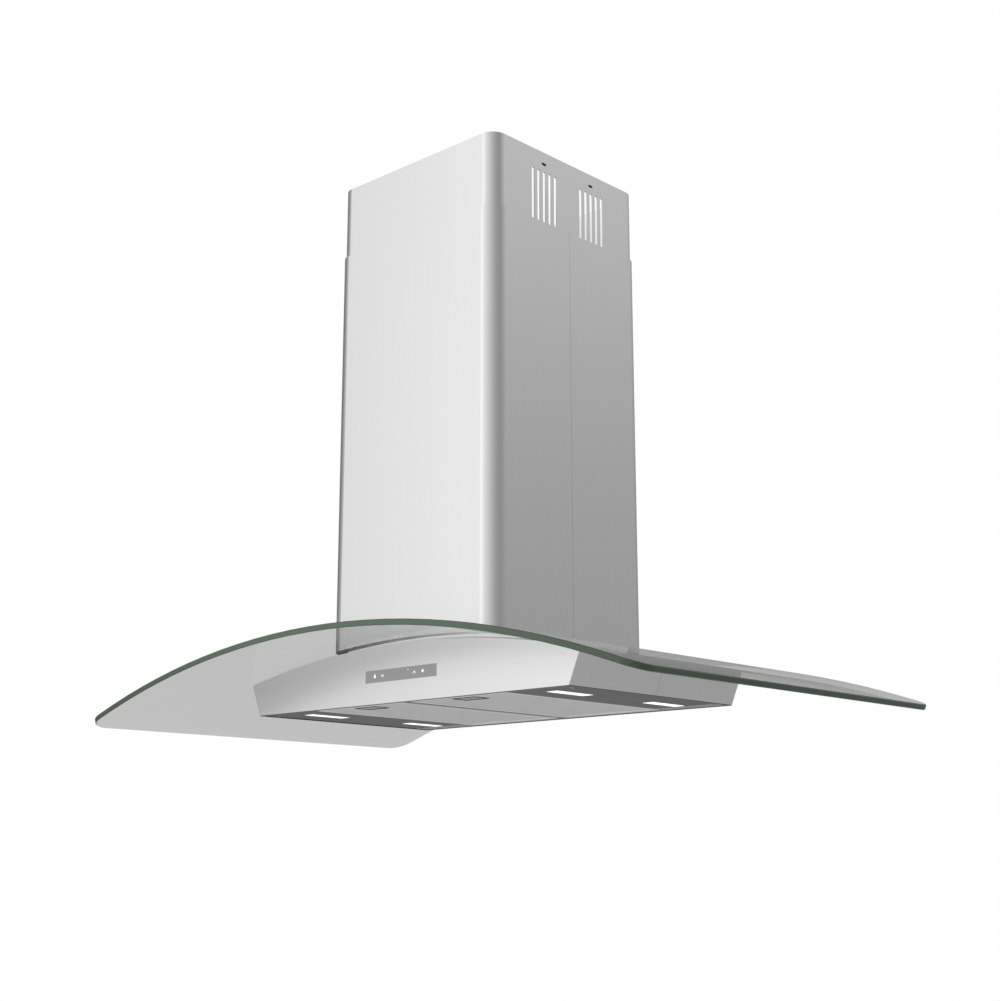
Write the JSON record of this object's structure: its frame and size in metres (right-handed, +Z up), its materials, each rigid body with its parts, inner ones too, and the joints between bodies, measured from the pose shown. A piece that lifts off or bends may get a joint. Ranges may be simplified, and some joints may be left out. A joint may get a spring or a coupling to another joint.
{
  "type": "island range hood",
  "caption": "Ceiling-hung island range hood: bent glass canopy over a slim steel body, telescopic square chimney, tilting grease filters, lamps, touch control and blower.",
  "frame": {"origin": "middle of the ceiling bracket, on the face that bolts to the ceiling", "axes": "+Z up out of the ceiling face, +X along the width of the glass, -Y towards the front with the touch control"},
  "size_m": [1.0662, 0.652, 0.815],
  "materials": {
    "chimney_steel": "fine vertical brushed stainless steel",
    "body_steel": "fine brushed stainless steel",
    "glass": "clear bent safety glass with a green edge",
    "gasket": "grey foam strip",
    "frame_steel": "bare galvanised sheet",
    "bolt_zinc": "zinc plated",
    "panel_grey": "satin dark grey",
    "lamp_lens": "frosted diffuser, lit",
    "lamp_case": "white moulded housing",
    "board_green": "circuit board",
    "control_face": "satin grey touch surface",
    "icon_white": "printed white, backlit",
    "control_case": "black moulded",
    "filter_aluminium": "anodised folded sheet",
    "mesh_aluminium": "layers of expanded mesh",
    "latch_black": "black moulded pocket",
    "latch_steel": "pressed pull",
    "spring_steel": "spring wire",
    "scroll_grey": "dark moulded housing",
    "wheel_steel": "galvanised blower wheel",
    "motor_steel": "painted motor case",
    "shaft_steel": "ground shaft",
    "capacitor_white": "moulded can",
    "adapter_zinc": "galvanised sheet box",
    "collar_black": "moulded collar",
    "flap_plastic": "moulded flap"
  },
  "bodies": {
    "ceiling_mount": {"ceiling_bracket": "frame_steel", "upper_frame_posts": "frame_steel", "post_bolts": "bolt_zinc", "upper_chimney": "chimney_steel"},
    "lower_cover": {"lower_chimney_front": "chimney_steel", "lower_chimney_rear": "chimney_steel", "chimney_joint_strips": "frame_steel"},
    "hood": {"lower_frame_posts": "frame_steel", "frame_bolts": "bolt_zinc", "frame_nuts": "bolt_zinc", "blower_sleeve": "frame_steel", "post_foot_bolts": "bolt_zinc", "glass_canopy": "glass", "glass_gasket": "gasket", "glass_clamps": "frame_steel", "clamp_pads": "gasket", "small_screws": "bolt_zinc", "body_front_shell": "body_steel", "body_rear_shell": "body_steel", "body_top_plate": "body_steel", "body_seam_plates": "frame_steel", "underside_panel": "panel_grey", "panel_screws": "bolt_zinc", "centre_rail": "panel_grey", "lamp_lenses": "lamp_lens", "lamp_modules": "lamp_case", "lamp_boards": "board_green", "touch_panel": "control_face", "touch_icons": "icon_white", "control_board": "board_green", "control_housing": "control_case", "scroll_front": "scroll_grey", "scroll_rear": "scroll_grey", "blower_rails": "frame_steel", "inlet_ring": "scroll_grey", "motor": "motor_steel", "motor_bracket": "frame_steel", "capacitor": "capacitor_white", "junction_box": "adapter_zinc", "junction_lid": "adapter_zinc", "cable_gland": "control_case", "outlet_adapter": "adapter_zinc", "exhaust_collar": "collar_black", "damper_pin": "shaft_steel"},
    "front_flap": {"front_damper_flap": "flap_plastic"},
    "rear_flap": {"rear_damper_flap": "flap_plastic"},
    "fan_wheel": {"impeller": "wheel_steel", "impeller_blades": "wheel_steel", "motor_shaft": "shaft_steel", "impeller_nut": "bolt_zinc"},
    "left_filter": {"left_filter_frame": "filter_aluminium", "left_filter_mesh": "mesh_aluminium", "left_latch_pocket": "latch_black", "left_latch_spring": "spring_steel"},
    "left_latch": {"left_latch_handle": "latch_steel"},
    "right_filter": {"right_filter_frame": "filter_aluminium", "right_filter_mesh": "mesh_aluminium", "right_latch_pocket": "latch_black", "right_latch_spring": "spring_steel"},
    "right_latch": {"right_latch_handle": "latch_steel"}
  },
  "joints": [
    {"name": "hood_height", "type": "slide", "parent": "ceiling_mount", "child": "hood", "axis": [0, 0, 1], "range_m": [-0.2, 0.04]},
    {"name": "lower_cover_lift", "type": "slide", "parent": "hood", "child": "lower_cover", "axis": [0, 0, 1], "range_m": [0, 0.065]},
    {"name": "fan_spin", "type": "hinge", "parent": "hood", "child": "fan_wheel", "pos_m": [0, 0, -0.578], "axis": [0, 1, 0], "continuous": true},
    {"name": "rear_flap_swing", "type": "hinge", "parent": "hood", "child": "rear_flap", "pos_m": [0, 0, -0.385], "axis": [1, 0, 0], "range_deg": [0, 78]},
    {"name": "front_flap_swing", "type": "hinge", "parent": "hood", "child": "front_flap", "pos_m": [0, 0, -0.385], "axis": [1, 0, 0], "range_deg": [-78, 0]},
    {"name": "left_filter_tilt", "type": "hinge", "parent": "hood", "child": "left_filter", "pos_m": [-0.098, 0.1635, -0.8005], "axis": [1, 0, 0], "range_deg": [0, 65]},
    {"name": "left_latch_slide", "type": "slide", "parent": "left_filter", "child": "left_latch", "axis": [0, 1, 0], "range_m": [0, 0.008], "stiffness_N_per_m": 300, "springref_m": -0.002, "deforming": ["left_latch_spring"]},
    {"name": "right_filter_tilt", "type": "hinge", "parent": "hood", "child": "right_filter", "pos_m": [0.098, 0.1635, -0.8005], "axis": [1, 0, 0], "range_deg": [0, 65]},
    {"name": "right_latch_slide", "type": "slide", "parent": "right_filter", "child": "right_latch", "axis": [0, 1, 0], "range_m": [0, 0.008], "stiffness_N_per_m": 300, "springref_m": -0.002, "deforming": ["right_latch_spring"]}
  ],
  "couplings": [
    {"joint": "front_flap_swing", "follows": "rear_flap_swing", "ratio": -1}
  ]
}
